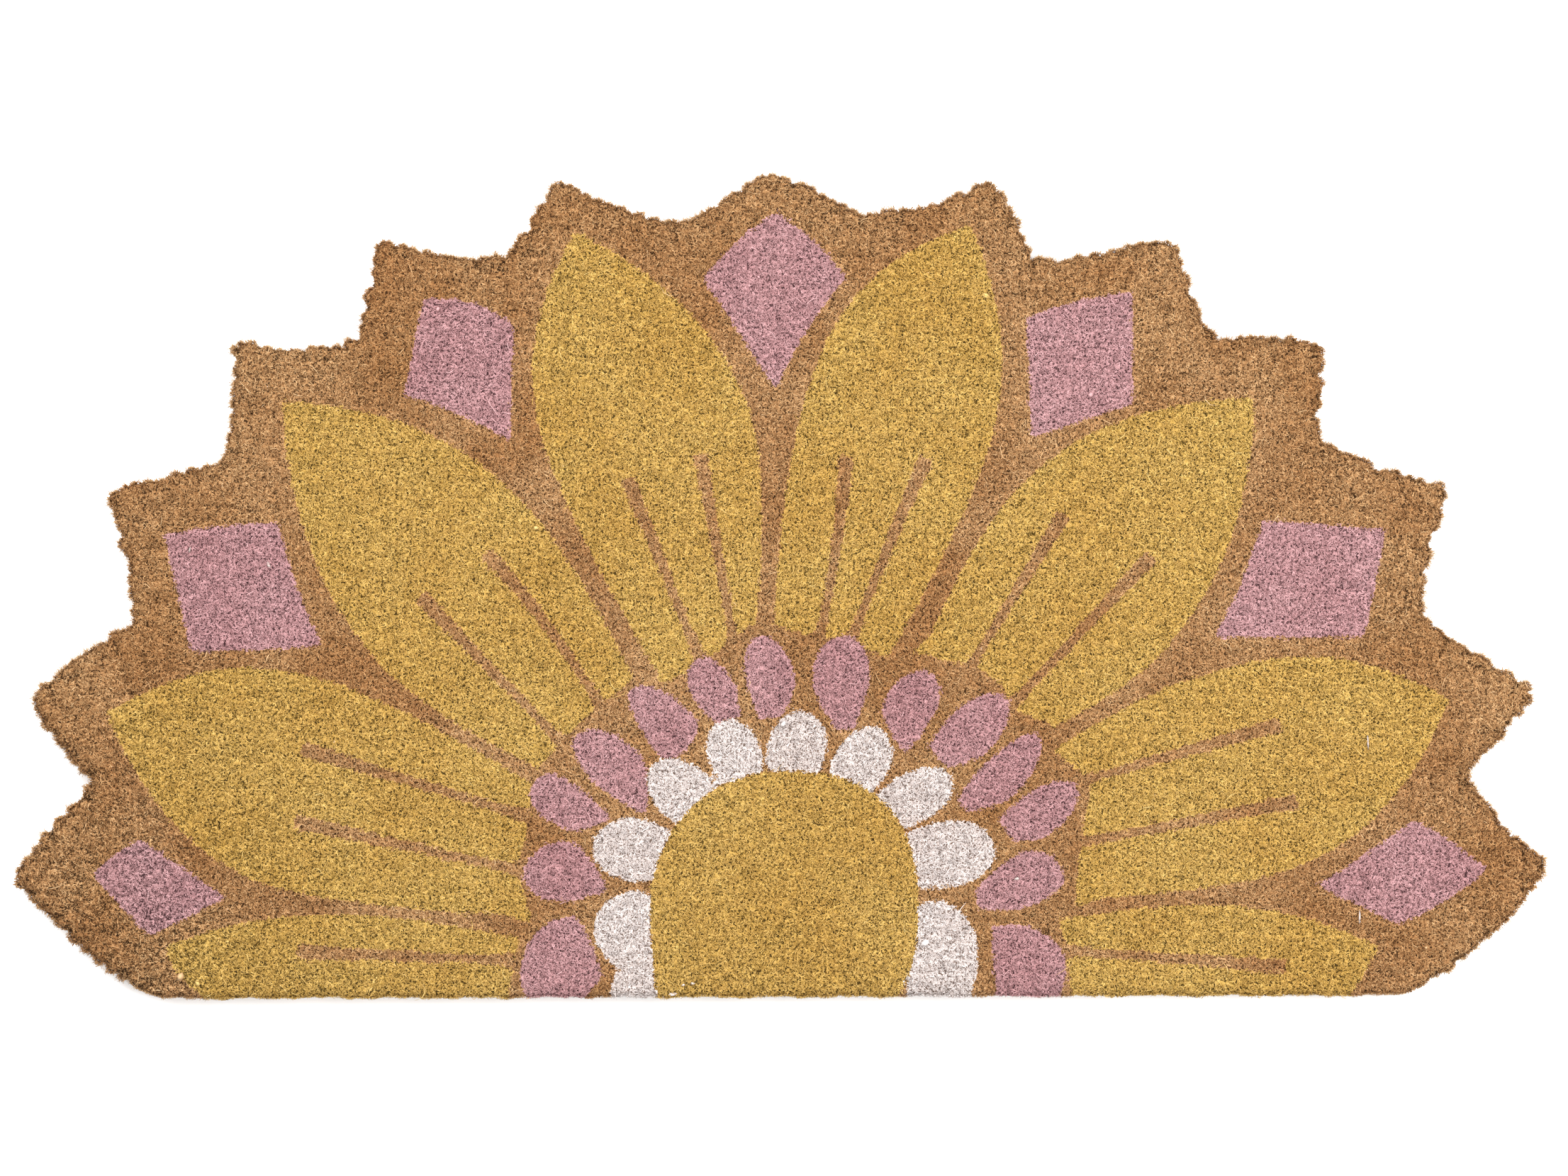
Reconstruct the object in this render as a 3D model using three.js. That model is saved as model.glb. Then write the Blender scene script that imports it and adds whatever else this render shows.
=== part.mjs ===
// A half-round coir doormat with a die-cut, thirteen-pointed rim. Millimetres, +Z up.
// The straight front edge runs along X on the -Y side, and the points of the rim fan out
// from a hub on the middle line, a little behind that edge. Clipped coir pile stands on a
// thin vinyl backing, and the two are one piece, so the mat is a single closed solid.
// The origin is under the middle of the mat, on the floor.

import * as THREE from 'three';

// Driving dimensions
const MAT_THICKNESS = 15;
const BACKING_THICKNESS = 2;
const ROUNDING = 9; // how far each side of a point or a valley its corner is eased
const SIDE_BULGE = 5; // how far the two sides belly out between the last points and the front
const FRONT_RIGHT = { x: 305.5, y: -41.5 }; // ends of the straight front edge, from the hub
const FRONT_LEFT = { x: -307.5, y: -43.2 };

// The points of the rim as the knife path turns at them, counter-clockwise from the right:
// angle in degrees from +X, reach from the hub
const POINTS = [
	{ angle: 3.2, reach: 375.5 },
	{ angle: 16.4, reach: 383.5 },
	{ angle: 32.5, reach: 387 },
	{ angle: 46.5, reach: 383 },
	{ angle: 60, reach: 381 },
	{ angle: 74, reach: 371.5 },
	{ angle: 91, reach: 362 },
	{ angle: 107, reach: 375.5 },
	{ angle: 121, reach: 384 },
	{ angle: 134.2, reach: 389.5 },
	{ angle: 148.5, reach: 390 },
	{ angle: 164, reach: 384 },
	{ angle: 177.3, reach: 378.5 },
];

// The valley between each point and the next: its depth under the chord from point to point,
// how far along that chord it lies, and how far its two flanks bow in (or, below 0, out)
const VALLEYS = [
	{ depth: 38.5, along: 0.58, bowBefore: 4, bowAfter: -4 },
	{ depth: 38, along: 0.5, bowBefore: 1.5, bowAfter: 4 },
	{ depth: 33, along: 0.66, bowBefore: 3.5, bowAfter: -0.5 },
	{ depth: 29, along: 0.5, bowBefore: -1.5, bowAfter: 2 },
	{ depth: 31.5, along: 0.67, bowBefore: 2, bowAfter: -1 },
	{ depth: 20, along: 0.6, bowBefore: 3, bowAfter: -1.5 },
	{ depth: 24, along: 0.38, bowBefore: -1, bowAfter: 5.5 },
	{ depth: 28, along: 0.37, bowBefore: -1, bowAfter: 6 },
	{ depth: 35, along: 0.42, bowBefore: -1, bowAfter: 4.5 },
	{ depth: 34, along: 0.53, bowBefore: 6, bowAfter: -1 },
	{ depth: 34.5, along: 0.52, bowBefore: 4, bowAfter: -1 },
	{ depth: 36, along: 0.45, bowBefore: -5, bowAfter: -1 },
];

// The cut edge from the floor up: the backing stands square, the pile spreads a little past
// it and its clipped top is rounded over
const EDGE = [
	{ height: 0, inset: 1.2 },
	{ height: BACKING_THICKNESS, inset: 1.2 },
	{ height: 5, inset: 0.2 },
	{ height: 10, inset: 0 },
	{ height: 13.4, inset: 0.8 },
	{ height: MAT_THICKNESS, inset: 2.6 },
];

// The rim wanders with the tufts that the knife leaves whole
const WANDER = [
	{ size: 0.35, length: 37 },
	{ size: 0.3, length: 13 },
];

const PATH_STEP = 1; // spacing along the knife path while its corners are eased
const RIM_STEP = 4; // spacing of the finished rim's points

function pointOfRim({ angle, reach }) {
	const turn = THREE.MathUtils.degToRad(angle);
	return new THREE.Vector2(reach * Math.cos(turn), reach * Math.sin(turn));
}

// The left-hand normal of a step from one place to another: inwards on a rim that is drawn
// counter-clockwise
function inwards(from, to) {
	const step = to.clone().sub(from).normalize();
	return new THREE.Vector2(-step.y, step.x);
}

// A line to the next place that bows sideways by the given amount at its middle
function bowTo(path, from, to, sideways, bow) {
	const control = from.clone().lerp(to, 0.5).addScaledVector(sideways, 2 * bow);
	path.quadraticCurveTo(control.x, control.y, to.x, to.y);
}

function knifePath() {
	const points = POINTS.map(pointOfRim);
	const frontRight = new THREE.Vector2(FRONT_RIGHT.x, FRONT_RIGHT.y);
	const frontLeft = new THREE.Vector2(FRONT_LEFT.x, FRONT_LEFT.y);
	const path = new THREE.Path();
	path.moveTo(frontRight.x, frontRight.y);
	bowTo(path, frontRight, points[0], inwards(frontRight, points[0]), -SIDE_BULGE);
	VALLEYS.forEach(({ depth, along, bowBefore, bowAfter }, i) => {
		const from = points[i];
		const to = points[i + 1];
		const inward = inwards(from, to);
		const valley = from.clone().lerp(to, along).addScaledVector(inward, depth);
		bowTo(path, from, valley, inward, bowBefore);
		bowTo(path, valley, to, inward, bowAfter);
	});
	const last = points[points.length - 1];
	bowTo(path, last, frontLeft, inwards(last, frontLeft), -SIDE_BULGE);
	path.lineTo(frontRight.x, frontRight.y);
	return path;
}

// Each place becomes a weighted mean of the places around it, which rounds every corner
function easeCorners(loop, reach) {
	const count = loop.length;
	return loop.map((_, i) => {
		const mean = new THREE.Vector2();
		let total = 0;
		for (let k = -reach; k <= reach; k += 1) {
			const weight = 1 + Math.cos((Math.PI * k) / (reach + 1));
			mean.addScaledVector(loop[(i + k + count) % count], weight);
			total += weight;
		}
		return mean.divideScalar(total);
	});
}

// The loop moved inwards by its own distance at each place
function insetLoop(loop, distanceAt) {
	const count = loop.length;
	return loop.map((place, i) => {
		const inward = inwards(loop[(i + count - 1) % count], loop[(i + 1) % count]);
		return place.clone().addScaledVector(inward, distanceAt(i));
	});
}

function wanderAt(i) {
	const turn = 2 * Math.PI * i * RIM_STEP;
	return WANDER.reduce((sum, { size, length }) => sum + size * Math.sin(turn / length), 0);
}

function matOutline() {
	const path = knifePath();
	const steps = Math.round(path.getLength() / PATH_STEP);
	const fine = path.getSpacedPoints(steps).slice(0, steps);
	const eased = easeCorners(fine, ROUNDING / PATH_STEP);
	const every = RIM_STEP / PATH_STEP;
	const rim = eased.filter((_, i) => i % every === 0 && i <= steps - every);
	return insetLoop(rim, wanderAt);
}

function centred(loop) {
	const middle = new THREE.Box2().setFromPoints(loop).getCenter(new THREE.Vector2());
	return loop.map((place) => place.clone().sub(middle));
}

// One ring of places for each row of the edge, walls between them, and two flat caps
function slabGeometry(outline, edge) {
	const count = outline.length;
	const rings = edge.map(({ inset }) => insetLoop(outline, () => inset));
	const positions = rings.flatMap((ring, row) =>
		ring.flatMap((place) => [place.x, place.y, edge[row].height]));
	const faces = [];
	for (let row = 0; row + 1 < rings.length; row += 1) {
		for (let i = 0; i < count; i += 1) {
			const a = row * count + i;
			const b = row * count + ((i + 1) % count);
			faces.push(a, b, b + count, a, b + count, a + count);
		}
	}
	const top = (rings.length - 1) * count;
	for (const [a, b, c] of THREE.ShapeUtils.triangulateShape(rings.at(-1), [])) {
		faces.push(top + a, top + b, top + c);
	}
	for (const [a, b, c] of THREE.ShapeUtils.triangulateShape(rings[0], [])) {
		faces.push(a, c, b);
	}
	const geometry = new THREE.BufferGeometry();
	geometry.setAttribute('position', new THREE.Float32BufferAttribute(positions, 3));
	geometry.setIndex(faces);
	geometry.computeVertexNormals();
	return geometry;
}

function coirMat() {
	const material = new THREE.MeshStandardMaterial({
		color: 0xb0875c,
		roughness: 0.95,
		metalness: 0,
	});
	const mesh = new THREE.Mesh(slabGeometry(centred(matOutline()), EDGE), material);
	mesh.name = 'coir_mat';
	return mesh;
}

const doormat = new THREE.Group();
doormat.add(coirMat());

export default doormat;
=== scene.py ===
# A half-round coir doormat with a die-cut, pointed rim and half a flower printed on its pile.
# Metres, +Z up, straight front edge along X on the -Y side. The fibres are real meshes: clipped
# slivers and bent strands that lie on a lumpy ground of crowded fibre, with stray hairs over them.
import math

import bmesh
import bpy
import numpy as np
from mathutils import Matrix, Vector


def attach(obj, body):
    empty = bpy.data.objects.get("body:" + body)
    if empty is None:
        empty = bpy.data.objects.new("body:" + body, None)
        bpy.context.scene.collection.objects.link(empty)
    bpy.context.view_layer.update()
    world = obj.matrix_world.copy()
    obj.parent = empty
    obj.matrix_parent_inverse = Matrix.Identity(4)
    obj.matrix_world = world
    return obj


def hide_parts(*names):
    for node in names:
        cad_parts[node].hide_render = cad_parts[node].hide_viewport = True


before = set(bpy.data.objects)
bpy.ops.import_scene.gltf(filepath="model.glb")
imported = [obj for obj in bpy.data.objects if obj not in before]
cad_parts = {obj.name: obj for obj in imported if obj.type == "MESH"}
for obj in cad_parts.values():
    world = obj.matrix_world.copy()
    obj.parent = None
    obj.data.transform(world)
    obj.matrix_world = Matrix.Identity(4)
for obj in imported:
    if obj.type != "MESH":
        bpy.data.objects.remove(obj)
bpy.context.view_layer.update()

MM = 0.001
MAT = "coir_mat"
rng = np.random.default_rng(7)

# The mat, from the floor up
BACKING_TOP = 2 * MM
WIDEST_HEIGHT = 10 * MM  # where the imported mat's edge reaches furthest
SURFACE = 13.2 * MM  # mean height of the crowded fibres that the loose ones lie on
PILE_TOP = 14.2 * MM  # mean height of the clipped tips
MAT_TOP = 15 * MM
FRONT_ROW = -194 * MM  # the straight front edge lies in front of this
GROUND_CELL = 2.4 * MM  # spacing of the crowded fibres' mesh
UNDERSIDE_SLACK = 0.6 * MM  # what lies lower than this belongs to the flat underside
COVER_SAMPLES = 16

# The print, in millimetres from the hub that its petals and the rim's points fan out from
HUB = np.array([1.5, -158.0]) * MM
NATURAL, MUSTARD, PINK, WHITE = range(4)

# Petals: the tip and the middle of the base, and the line of the base as places to its left and
# how far out they lie. Then, for the left and the right side, looking out from the hub, the
# half-width at the base, the greatest half-width, how far along the petal that lies, and how full
# and how round the side stays to the tip
PETALS = [
    ((-302.3, -18), (-137, -51), [(0, 0)],
     (34.5, 34.5, 0, 4, 0.6), (37.5, 37.5, 0, 2.9, 1)),
    ((-332, 96), (-127, 33), [(-30, 1), (0, 0), (14, 0), (34, -14)],
     (37, 57, 0.52, 2.1, 1), (27, 47, 0.52, 2.5, 1)),
    ((-245.5, 248.3), (-102.3, 88), [(-36, 0), (0, 1), (10, 0), (27, -2)],
     (27, 50, 0.4, 2.1, 1), (38, 55, 0.42, 2.35, 1)),
    ((-102, 332), (-36, 124), [(-22, 8), (0, 0), (8, -3), (27, -6)],
     (27, 46.3, 0.55, 2.35, 1), (22, 54.5, 0.48, 2.1, 1)),
    ((91, 335), (25.3, 132), [(-27, 0), (0, 0), (16, -2), (31, -2)],
     (31.5, 50.5, 0.5, 2.9, 1), (27, 42.3, 0.5, 2.3, 1)),
    ((230.3, 250.3), (98, 110), [(-36, 8), (-18, 1), (-6, 6), (8, 4), (36, -12)],
     (36, 54, 0.4, 2.2, 1), (36, 52.5, 0.34, 2.2, 1)),
    ((325.6, 102.6), (144.3, 42.1),
     [(-38.5, -14.4), (-6.4, -1.1), (13.4, 11), (22.2, 9.4), (35.3, 1)],
     (38, 49.7, 0.35, 2.9, 1), (38.5, 54, 0.45, 2.3, 1)),
    ((291, -18), (141, -42), [(0, 0)],
     (37.5, 37.5, 0, 2.9, 1), (73, 73, 0, 2.9, 1)),
]

# Veins left bare in the petals: outer end, inner end and how far the line bows to its left
VEINS = [
    ((-236, 78.7), (-124, 45), 0),
    ((-239.8, 43), (-124, 18), 0),
    ((-145.8, 174.6), (-86, 93), -3),
    ((-178.4, 153.5), (-106, 79), 0),
    ((-76.7, 211), (-41, 122), 0),
    ((-41, 223), (-23, 122), 0),
    ((30.4, 222), (16, 128), -2),
    ((69.5, 221), (31.5, 128), 0.5),
    ((137, 193.5), (86, 110), 0),
    ((180, 173), (108, 96), 0),
    ((243, 90.5), (139, 61), 0),
    ((252, 53), (136, 31), 0),
    ((-238, -21), (-132, -25), 0),
    ((246, -28), (134, -20), 0),
]
VEIN_WIDTH = {"outer": 7.8, "narrow": 4.2, "inner": 8.5}
VEIN_FLARE = 0.22  # share of a vein over which it opens towards the middle of the flower

# Pink diamonds between the petals: corners counter-clockwise, and how far each side bows out
DIAMONDS = [
    ([(-3.8, 341.5), (-39.5, 308.9), (-3.8, 254.4), (30.7, 308.9)], (2, 0, -3, 2)),
    ([(-176.5, 298.5), (-186.1, 251.3), (-134.3, 229.1), (-132.4, 286)], (0, -2.4, 0, 4.6)),
    ([(170.7, 302), (118.9, 289.9), (120.9, 231), (170.7, 247.5)], (2, 0, 0, 0)),
    ([(-303.5, 183.5), (-290.5, 125.9), (-225.6, 128.5), (-247.5, 189.5)], (0, 0, -2, 1)),
    ([(294.5, 186), (234, 190.2), (210.3, 133.2), (283.9, 133.2)], (0, -2.2, 0, 0.5)),
    ([(-338.6, 17.3), (-310.5, -13), (-273, 5.5), (-315, 34.5)], (0.5, 0, 0, 1)),
    ([(344.2, 19.5), (308.4, 43.5), (261.5, 11.5), (300.5, -7.2)], (1.5, 0, 0, 2.5)),
]

# Lobes of the two inner rings: outer and inner end, then for each side the half-width at the
# inner end, the greatest half-width and how far along the lobe that lies
PINK_LOBES = [
    ((-129, -31), (-89, -33), (0, 20, 0.5), (0, 29, 0.38)),
    ((-127.5, 18), (-86, 9.5), (0, 10.7, 0.6), (0, 19, 0.52)),
    ((-124.5, 58), (-84, 44.5), (0, 12, 0.42), (0, 11.8, 0.78)),
    ((-102, 85), (-67.5, 46), (0, 8.5, 0.6), (0, 17.3, 0.45)),
    ((-75, 107.5), (-52, 75), (6, 7.8, 0.3), (6, 17.5, 0.2)),
    ((-41.5, 123), (-28, 91.5), (4, 10.8, 0.6), (7, 10.7, 0.4)),
    ((-11.5, 133.8), (-5, 94), (6.5, 10.7, 0.55), (4, 13.3, 0.38)),
    ((29.5, 134), (30, 87.5), (4, 16, 0.55), (4, 12.5, 0.6)),
    ((71, 116), (59, 77.5), (1, 17, 0.45), (1, 9.2, 0.65)),
    ((108, 104), (76, 74), (8, 11.3, 0.45), (6, 14, 0.4)),
    ((124.5, 85.5), (88, 50), (5, 8, 0.45), (3, 13, 0.42)),
    ((143, 60), (107, 42), (3, 8, 0.6), (9, 15, 0.35)),
    ((137, 17.5), (95, 3), (6, 16.5, 0.63), (3, 9.8, 0.5)),
    ((138, -28), (103, -30), (21, 22, 0.2), (21, 23, 0.5)),
]
WHITE_LOBES = [
    ((-92.8, -11), (-58, -8), (15, 22, 0.35), (10, 18.5, 0.4)),
    ((-85, -40), (-54, -40), (15, 20, 0.2), (15, 18, 0.2)),
    ((-93.6, 30), (-55, 27), (11, 15, 0.42), (11, 16.4, 0.5)),
    ((-64.5, 70.5), (-38, 45), (11, 13.5, 0.45), (14, 15.4, 0.35)),
    ((-29, 92.7), (-20, 58), (9, 12.8, 0.6), (9, 13.6, 0.45)),
    ((8, 97.2), (5, 60), (12, 14.7, 0.4), (10, 14.2, 0.6)),
    ((46, 88.8), (34, 56), (12, 15.5, 0.33), (7, 12, 0.55)),
    ((81, 66), (50, 45), (12, 13, 0.35), (9, 11.8, 0.55)),
    ((103.3, 29), (60, 24), (13, 17, 0.5), (13, 15.5, 0.45)),
    ((95, -22), (60, -22), (22, 26, 0.4), (30, 38, 0.4)),
]
LOBE_FULL, LOBE_ROUND = 2, 0.5  # a lobe's end is an ellipse
# The disc's halves: half-width, depth to the back and to the front, and squareness
DISC_BACK = 68
DISC_LEFT = {"half_width": 65.7, "front": 130, "squareness": 2.05}
DISC_RIGHT = {"half_width": 66, "front": 65, "squareness": 2.5}

# Fibres, in real sizes
TUFT_PITCH = 6.5 * MM
TUFT_RISE = 1.1 * MM  # from a crease to the middle of a tuft
TUFT_CREASE = 0.7  # how far from its middle a tuft ends, in tuft pitches
TUFT_DOME = 0.45  # share of the rise by which its middle stands above the mean
TUFT_STRAY_REACH = 0.35  # how far its middle strays from an even grid, in tuft pitches
TUFT_TABLE = 64
LUMP_RISE, WAVE_RISE, PIT_DEPTH = 0.3, 0.25, 0.5  # of the pile's top, in millimetres
LOOSE_PITCH = 1.92 * MM  # bent fibres that lie over the clipped ones
LOOSE_LENGTH = (2.5 * MM, 6.0 * MM)
LOOSE_WIDTH = (0.3 * MM, 0.52 * MM)
LOOSE_ROOT, LOOSE_TIP, LOOSE_ARCH = (0.0, 0.6), (-0.2, 0.9), (0.3, 0.9)  # in millimetres
LOOSE_BOW = 0.6  # how far a loose fibre bends aside, as a share of half its length
CLIPPED_PITCH = 1.645 * MM
CLIPPED_RUN = (1.0 * MM, 2.6 * MM)  # how far a clipped fibre reaches sideways
CLIPPED_WIDTH = (0.3 * MM, 0.54 * MM)
CLIPPED_ROOT, CLIPPED_TIP = (0.1, 0.7), (0.3, 1.2)  # below and above the surface, in millimetres
# Roots are darker: painted shade of the depth they sink into, and under a print the bare coir too
ROOT_SHADE = 0.6  # a fibre's shade at its root, as a share of its tip's
FIBRE_TWIST = math.radians(40)  # the tip's edge is turned from the root's by this
# Painted shadow: short dark slivers that stand for the shade where the pile is open
SHADOW_SPECK_SHARE = 0.1  # short dark ends, where the pile is open
PRINT_FRAY = 0.6 * MM  # how far a fibre strays over a printed edge
INK_GIVES_OUT = (7.5 * MM, 10.5 * MM)  # heights down the pile between which the print fades
RIM_STEP = 0.8 * MM
RIM_BULGE = 1.0 * MM  # how far the middle of a tuft stands out of the knife's path
RIM_CREASE = 2.4 * MM  # how much less the creases between the tufts do
RIM_CREASE_AT = 0.65  # in tuft pitches from the middle of the tuft
RIM_SWIRL = 0.8  # how unevenly the tufts stand out
RIM_LUMPS, RIM_WAVES = 0.5, 0.6  # of the rim, in millimetres
STRAIGHT_SHARE = 0.12  # how much of all that is left at the straight front edge
RIM_SPREAD = 0.2 * MM  # how far the pile leans out past the knife's path all round
PILE_EDGE = 0.4 * MM  # the pile on top starts this far inside the rim
BRUSHY_REACH = 45 * MM  # how far in from the rim the tufts are loose
EDGE_DROP = 0.5 * MM  # how much lower the pile lies right at the rim
EDGE_DROP_REACH = 3 * MM
WALL_REACH = 4 * MM  # depth of the crowded fibres' wall that follows the rim's tufts
WALL_SINK = (0.5, 0.2)  # how far it stays behind them, and by how much that changes, in mm
# The fibres of the cut edge, in millimetres: where they start and end over the floor, their
# length, how far behind the rim they start, how far they lean along it and out of it
RIM_FIBRES = 10500
RIM_FOOT, RIM_HEAD, RIM_LENGTH = (1.5, 10.0), (11.6, 13.4), (3.5, 7.5)
RIM_DEPTH, RIM_LEAN, RIM_FLARE = (0.5, 1.6), 0.9, (-0.4, 1.1)
# The fine fringe: where its fibres start over the floor, their width and usual reach in
# millimetres, the spread of the way they point, and the furthest that one reaches
FRINGE_FIBRES = 23000
FRINGE_FOOT, FRINGE_WIDTH, FRINGE_USUAL = (6, 13.4), (0.1, 0.24), 0.8
FRINGE_TURN = 0.7
FRINGE_REACH = 2.1 * MM
HAIR_SECTIONS = 4
HAIR_SIDES = 3
HAIRS_PER_PIECE = 520  # on a piece with as many clipped fibres as the next line says
PIECE_FIBRES = 40000
FEWEST_HAIRS = 60
GRAINS = 150
MAP_MARGIN = 0.08  # round each strand in its cell of the map
MAP_SHARE = 1 - 2 * MAP_MARGIN
GRAIN_SIZE = (0.8 * MM, 1.7 * MM)

# Where the painted light and shade change: how far in from the rim painted light lifts it, how far
# its creases carry painted shade, how far it grows darker towards the rim, and how far from a
# tuft's middle the painted crease shade is darkest, in tuft pitches
RIM_PAINTED_LIGHT_REACH = 2.5 * MM
RIM_CREASE_SHADE_REACH = 9 * MM
RIMWARD_DARKENING_REACH = 90 * MM
SHADE_CREASE = 0.6
# The corner where the light falls off, painted as shade: its middle from the hub, how far it reaches and
# how dark
PAINTED_SHADE_CORNER = {"at": np.array([-330, -40]) * MM, "reach": 190 * MM, "depth": 0.35}

# Larger bits of pith and pale strands caught in the pile: where from the hub, length and width,
# the way they lie in degrees, the colour group and the shade
STRAYS = [
    ((281.7, -4.2), (8.7, 1.2), 90, WHITE, 0.3),
    ((285.8, 81.9), (8.3, 0.9), 92, WHITE, 0.3),
    ((-49.3, -37.1), (2.2, 1.3), 20, WHITE, 0.7),
    ((-44.8, -36.4), (2.4, 1.6), 0, WHITE, 0.9),
    ((-54.5, -41.6), (5.0, 1.8), 8, WHITE, 0.6),
    ((69.0, -16.3), (5.0, 3.0), 35, WHITE, 1.0),
    ((-0.3, 90.9), (4.0, 2.0), 60, WHITE, 1.0),
    ((-252.2, 168.4), (4.2, 1.7), 110, WHITE, 0.24),
    ((-290.9, 175.9), (3.6, 1.0), 80, WHITE, 0.2),
    ((114.0, 15.0), (3.0, 1.6), 20, WHITE, 0.3),
    ((-29.5, 301.0), (3.2, 2.2), 30, PINK, 0.75),
    ((150.2, 251.9), (3.6, 2.6), 40, PINK, 0.78),
    ((-169.4, 293.8), (3.0, 2.0), 60, PINK, 0.9),
    ((98.7, 300.5), (4.0, 2.8), 130, MUSTARD, 0.95),
    ((-121.4, 186.6), (2.8, 2.2), 0, MUSTARD, 1.0),
    ((-287.2, -36.0), (4.4, 2.6), 100, MUSTARD, 0.95),
    ((-295.6, -33.0), (4.5, 3.6), 60, NATURAL, 0.9),
]


# Places and the rim

def limited(values):
    return np.clip(values, 0, 1)


def unit(vectors):
    return vectors / np.maximum(np.linalg.norm(vectors, axis=1, keepdims=True), 1e-12)


def vectors_of(items, name):
    """One vector of each of a mesh's vertices or polygons, as rows."""
    flat = np.empty(len(items) * 3)
    items.foreach_get(name, flat)
    return flat.reshape(-1, 3)


FIELD_REACH = 0.45  # metres from the middle that a field of random values covers
FIELD_TURNS = (0.4, 1.25)  # its layers are turned, so that no rows show


def layer_of(knots, cells):
    """Values between the knots of a square table, smoothly from one to the next."""
    low = np.floor(cells).astype(int)
    part = cells - low
    part = part * part * (3 - 2 * part)
    x, y = low[:, 0], low[:, 1]
    near = knots[x, y] * (1 - part[:, 0]) + knots[x + 1, y] * part[:, 0]
    far = knots[x, y + 1] * (1 - part[:, 0]) + knots[x + 1, y + 1] * part[:, 0]
    return near * (1 - part[:, 1]) + far * part[:, 1]


def drift(size):
    """A field of smooth random values, mostly from -1 to 1, that change over the given size."""
    count = int(math.ceil(2 * FIELD_REACH / size)) + 2
    tables = [rng.uniform(-1, 1, (count, count)) for _ in FIELD_TURNS]

    def at(places):
        total = np.zeros(len(places))
        for knots, angle in zip(tables, FIELD_TURNS):
            along = places @ np.array([math.cos(angle), math.sin(angle)])
            across = places @ np.array([-math.sin(angle), math.cos(angle)])
            cells = (np.stack([along, across], axis=1) + FIELD_REACH) / size
            total += layer_of(knots, cells)
        return total / math.sqrt(len(FIELD_TURNS))

    return at


WAVES = drift(14 * MM)
LUMPS = drift(2.6 * MM)
SWIRL = drift(7 * MM)
OPENINGS = drift(1.5 * MM)
OPEN_FROM, OPEN_FULLY = 0.35, 0.6  # values of the openings' field between which a pit opens
TUFT_STRAY = rng.uniform(-TUFT_STRAY_REACH, TUFT_STRAY_REACH, (TUFT_TABLE, TUFT_TABLE, 2))


def from_tuft(places):
    """The way to each place from the middle of its tuft, in tuft pitches."""
    cell = np.floor(places / TUFT_PITCH).astype(int)
    nearest = np.full(places.shape, 9.0)
    for across in (-1, 0, 1):
        for along in (-1, 0, 1):
            near = cell + (across, along)
            stray = TUFT_STRAY[near[:, 0] % TUFT_TABLE, near[:, 1] % TUFT_TABLE]
            away = places / TUFT_PITCH - (near + 0.5 + stray)
            closer = (away ** 2).sum(axis=1) < (nearest ** 2).sum(axis=1)
            nearest[closer] = away[closer]
    return nearest


def knife_path():
    """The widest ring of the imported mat, in order round the hub, in small even steps."""
    places = vectors_of(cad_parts[MAT].data.vertices, "co")
    ring = places[np.abs(places[:, 2] - WIDEST_HEIGHT) < 0.01 * MM, :2]
    ring = np.unique(ring.round(7), axis=0)
    turn = np.arctan2(ring[:, 1] - HUB[1], ring[:, 0] - HUB[0])
    ring = ring[np.argsort(turn)]
    closed = np.concatenate([ring, ring[:1]])
    walked = np.concatenate([[0], np.cumsum(np.linalg.norm(np.diff(closed, axis=0), axis=1))])
    steps = np.arange(0, walked[-1], RIM_STEP)
    return np.stack([np.interp(steps, walked, closed[:, k]) for k in (0, 1)], axis=1)


def bulge_at(places):
    """How far the tufts stand out of the knife's path; in the creases between them, below 0."""
    crease = limited(np.linalg.norm(from_tuft(places), axis=1) / RIM_CREASE_AT)
    bulge = (RIM_BULGE - RIM_CREASE * crease ** 2) * (1 + RIM_SWIRL * SWIRL(places))
    bulge += (RIM_LUMPS * LUMPS(places) + RIM_WAVES * WAVES(places)) * MM
    return bulge * np.where(places[:, 1] > FRONT_ROW, 1, STRAIGHT_SHARE) + RIM_SPREAD


KNIFE_PATH = knife_path()
PATH_TURN = np.arctan2(KNIFE_PATH[:, 1] - HUB[1], KNIFE_PATH[:, 0] - HUB[0])
PATH_REACH = np.linalg.norm(KNIFE_PATH - HUB, axis=1)


def inside_path(places):
    """How far each place lies inside the knife's path along its ray from the hub."""
    away = places - HUB
    turn = np.arctan2(away[:, 1], away[:, 0])
    return np.interp(turn, PATH_TURN, PATH_REACH, period=2 * np.pi) - np.linalg.norm(away, axis=1)


def inside_rim(places):
    """The same, inside the rim as the tufts leave it."""
    return inside_path(places) + bulge_at(places)


def pits_at(places):
    """From 0 to 1 where the pile is open down to its dark depth."""
    return limited((OPENINGS(places) - OPEN_FROM) / (OPEN_FULLY - OPEN_FROM))


def lumps_at(places):
    """How far the fibres stand above or below their mean height: tufts, lumps and waves."""
    crease = np.minimum(np.linalg.norm(from_tuft(places), axis=1), TUFT_CREASE)
    tufts = TUFT_RISE * (1 + brushy(places)) * (TUFT_DOME - (crease / TUFT_CREASE) ** 2)
    swells = LUMP_RISE * LUMPS(places) + WAVE_RISE * WAVES(places) - PIT_DEPTH * pits_at(places)
    return tufts + swells * MM


# The print

def along_and_across(places, start, end):
    """Share of the way from start to end, and the distance to the left of that line."""
    start = np.array(start, float)
    line = np.array(end, float) - start
    length = np.linalg.norm(line)
    line /= length
    away = places - start
    return away @ line / length, away @ np.array([-line[1], line[0]])


def side_width(share, base, widest, place, full, roundness):
    """Half-width of a petal or lobe: it grows from the base to its widest and closes to the tip."""
    out = limited((share - place) / (1 - place))
    width = widest * (1 - out ** full) ** roundness
    if place > 0:
        back = limited((place - share) / place)
        width = np.where(share < place, widest - (widest - base) * back ** 1.5, width)
    return width


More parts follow.
